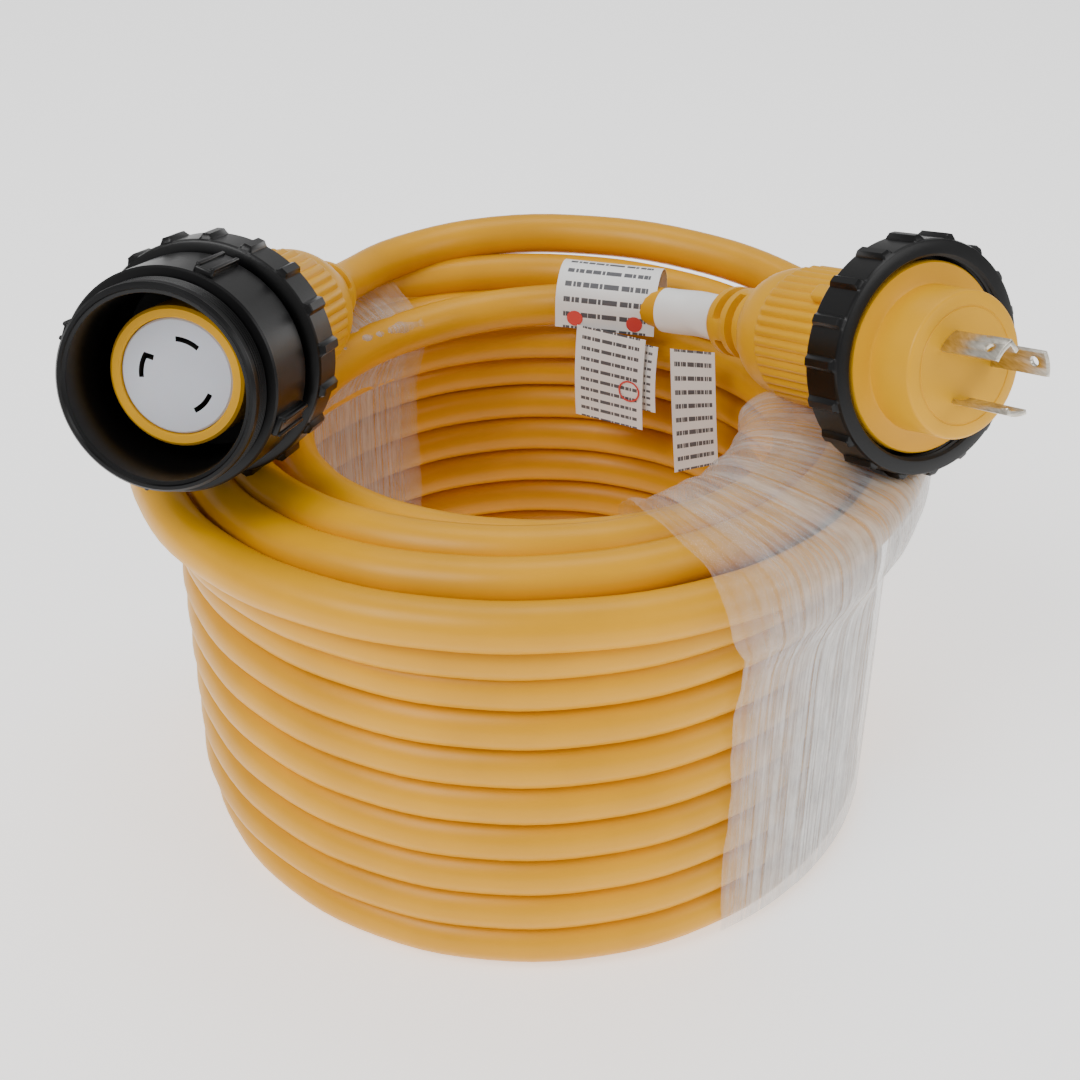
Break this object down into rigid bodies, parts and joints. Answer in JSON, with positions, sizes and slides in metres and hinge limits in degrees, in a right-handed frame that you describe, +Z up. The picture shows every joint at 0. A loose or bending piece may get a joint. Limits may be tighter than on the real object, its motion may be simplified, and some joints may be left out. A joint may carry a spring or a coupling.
{
  "type": "shore power cord",
  "caption": "Coiled yellow three-core shore power cable with a locking plug at one end and a locking connector with a threaded adapter collar at the other.",
  "frame": {"origin": "on the floor under the middle of the whole object", "axes": "+Z up along the coil's axis, +X from the connector towards the plug, the two open ends face -Y"},
  "size_m": [0.3062, 0.2786, 0.2385],
  "materials": {
    "yellow_pvc": "moulded satin PVC",
    "yellow_jacket": "satin PVC cable jacket",
    "pale_nylon": "satin",
    "black_nylon": "moulded satin",
    "black_rubber": "matte",
    "nickel_plate": "nickel plated, satin",
    "brass_spring": "bright",
    "green_core": "satin",
    "black_core": "satin",
    "white_core": "satin",
    "clear_film": "clear stretch film",
    "white_paper": "coated paper"
  },
  "bodies": {
    "cord": {"plug_grip_body": "yellow_pvc", "plug_strain_relief": "yellow_pvc", "plug_blade_carrier": "pale_nylon", "plug_flange_gasket": "pale_nylon", "plug_jacket_end": "yellow_jacket", "plug_ground_blade": "nickel_plate", "plug_hot_blade": "nickel_plate", "plug_neutral_blade": "nickel_plate", "plug_ground_conductor": "green_core", "plug_hot_conductor": "black_core", "plug_neutral_conductor": "white_core", "connector_grip_body": "yellow_pvc", "connector_strain_relief": "yellow_pvc", "connector_insert": "pale_nylon", "connector_jacket_end": "yellow_jacket", "connector_ground_contact": "brass_spring", "connector_hot_contact": "brass_spring", "connector_neutral_contact": "brass_spring", "connector_ground_conductor": "green_core", "connector_hot_conductor": "black_core", "connector_neutral_conductor": "white_core", "cable_coil_rows": "yellow_jacket", "cable_coil_top": "yellow_jacket", "cable_plug_lead": "yellow_jacket", "cable_connector_lead": "yellow_jacket", "film_band_right": "clear_film", "film_band_left": "clear_film", "label_sleeve": "white_paper", "label_loop_tag": "white_paper", "label_warning_tag": "white_paper", "label_rear_tag": "white_paper", "label_long_tag": "white_paper"},
    "plug_ring": {"plug_coupling_ring": "black_nylon"},
    "connector_ring": {"connector_coupling_ring": "black_nylon"},
    "collar": {"connector_adapter_collar": "black_nylon", "connector_collar_gasket": "black_rubber"}
  },
  "joints": [
    {"name": "plug_ring_spin", "type": "hinge", "parent": "cord", "child": "plug_ring", "pos_m": [0.11944, -0.05155, 0.1955], "axis": [0.5074, -0.8208, 0.2626], "continuous": true},
    {"name": "connector_ring_turn", "type": "hinge", "parent": "cord", "child": "connector_ring", "pos_m": [-0.11016, -0.04625, 0.195], "axis": [-0.2149, -0.9486, 0.2324], "range_deg": [0, 720]},
    {"name": "collar_travel", "type": "slide", "parent": "cord", "child": "collar", "axis": [-0.2149, -0.9486, 0.2324], "range_m": [0, 0.0051]}
  ],
  "couplings": [
    {"joint": "collar_travel", "follows": "connector_ring_turn", "m_per_rad": 0.00039789}
  ]
}
